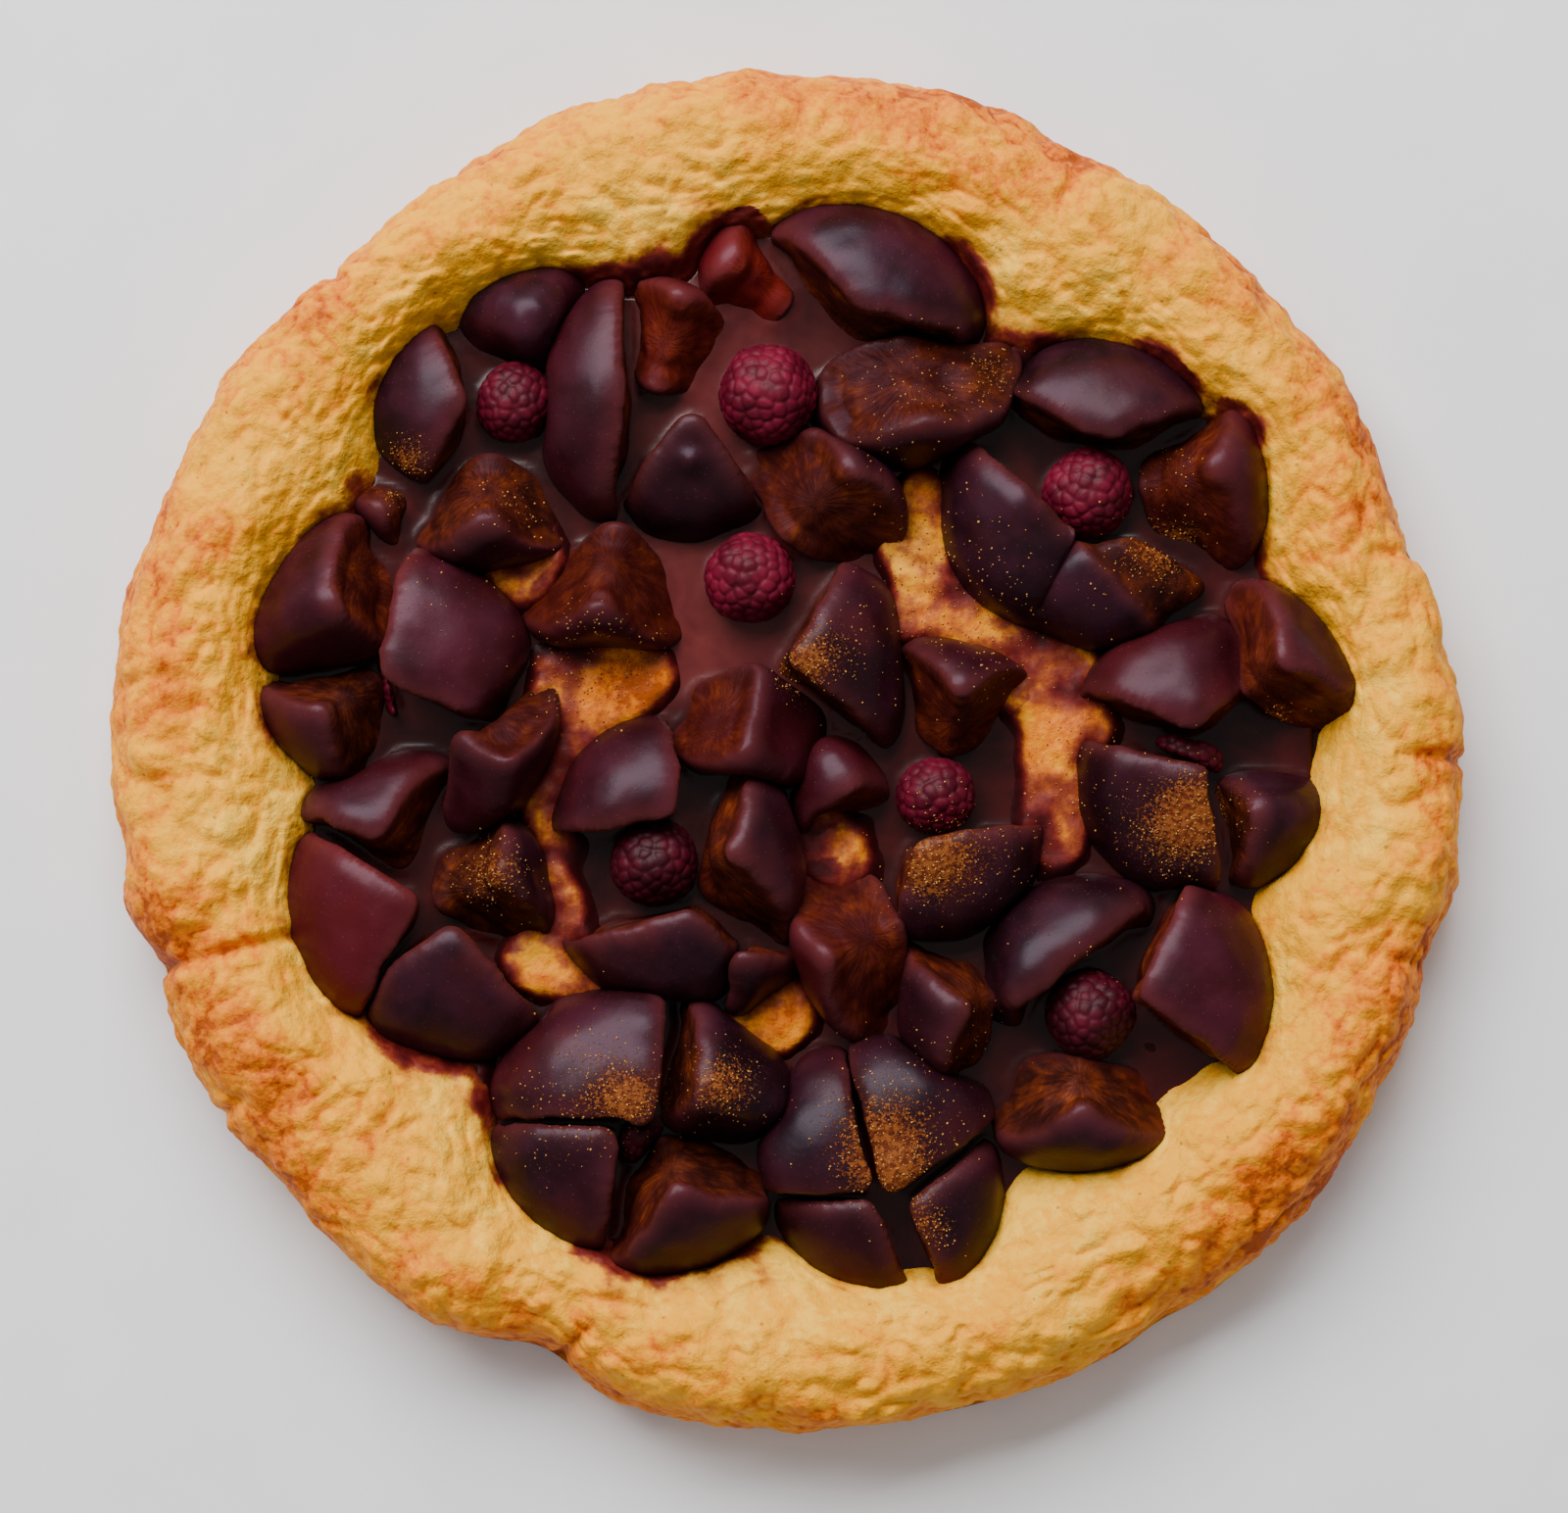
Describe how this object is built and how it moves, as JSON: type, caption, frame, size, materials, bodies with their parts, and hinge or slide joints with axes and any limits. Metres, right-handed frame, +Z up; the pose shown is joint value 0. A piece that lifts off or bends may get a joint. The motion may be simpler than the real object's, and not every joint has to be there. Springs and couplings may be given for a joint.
{
  "type": "plum tart",
  "caption": "Round home-made tart: a thick dough crust with a rolled, lumpy rim, filled with cross-cut plum halves opened round red berries, with cinnamon.",
  "frame": {"origin": "on the table under the middle of the tart's outline", "axes": "+Z up, +Y towards the far side of the tart in the picture, +X to its right"},
  "size_m": [0.2589, 0.2602, 0.0337],
  "materials": {
    "dough": "matte",
    "plum": "gloss",
    "berry": "satin"
  },
  "bodies": {
    "root": {"crust": "dough", "plum_a1": "plum", "plum_a2": "plum", "plum_a3": "plum", "plum_a4": "plum", "plum_b1": "plum", "plum_b2": "plum", "plum_b3": "plum", "plum_c1": "plum", "plum_c2": "plum", "plum_c3": "plum", "plum_d1": "plum", "plum_d2": "plum", "plum_d4": "plum", "plum_e1": "plum", "plum_e2": "plum", "plum_e3": "plum", "plum_e4": "plum", "plum_f1": "plum", "plum_f2": "plum", "plum_f3": "plum", "plum_f4": "plum", "plum_g1": "plum", "plum_g2": "plum", "plum_g3": "plum", "plum_g4": "plum", "plum_h1": "plum", "plum_h2": "plum", "plum_h3": "plum", "plum_h4": "plum", "plum_i1": "plum", "plum_i2": "plum", "plum_i3": "plum", "plum_i4": "plum", "plum_j1": "plum", "plum_j2": "plum", "plum_j3": "plum", "plum_j4": "plum", "plum_k1": "plum", "plum_k2": "plum", "plum_k3": "plum", "plum_k4": "plum", "plum_l1": "plum", "plum_l2": "plum", "plum_l3": "plum", "plum_l4": "plum", "plum_m1": "plum", "plum_m2": "plum", "plum_m3": "plum", "plum_m4": "plum", "berry_a": "berry", "berry_b": "berry", "berry_d": "berry", "berry_e": "berry", "berry_f": "berry", "berry_h": "berry", "berry_j": "berry", "berry_k": "berry", "berry_l": "berry", "berry_m": "berry"}
  },
  "joints": []
}
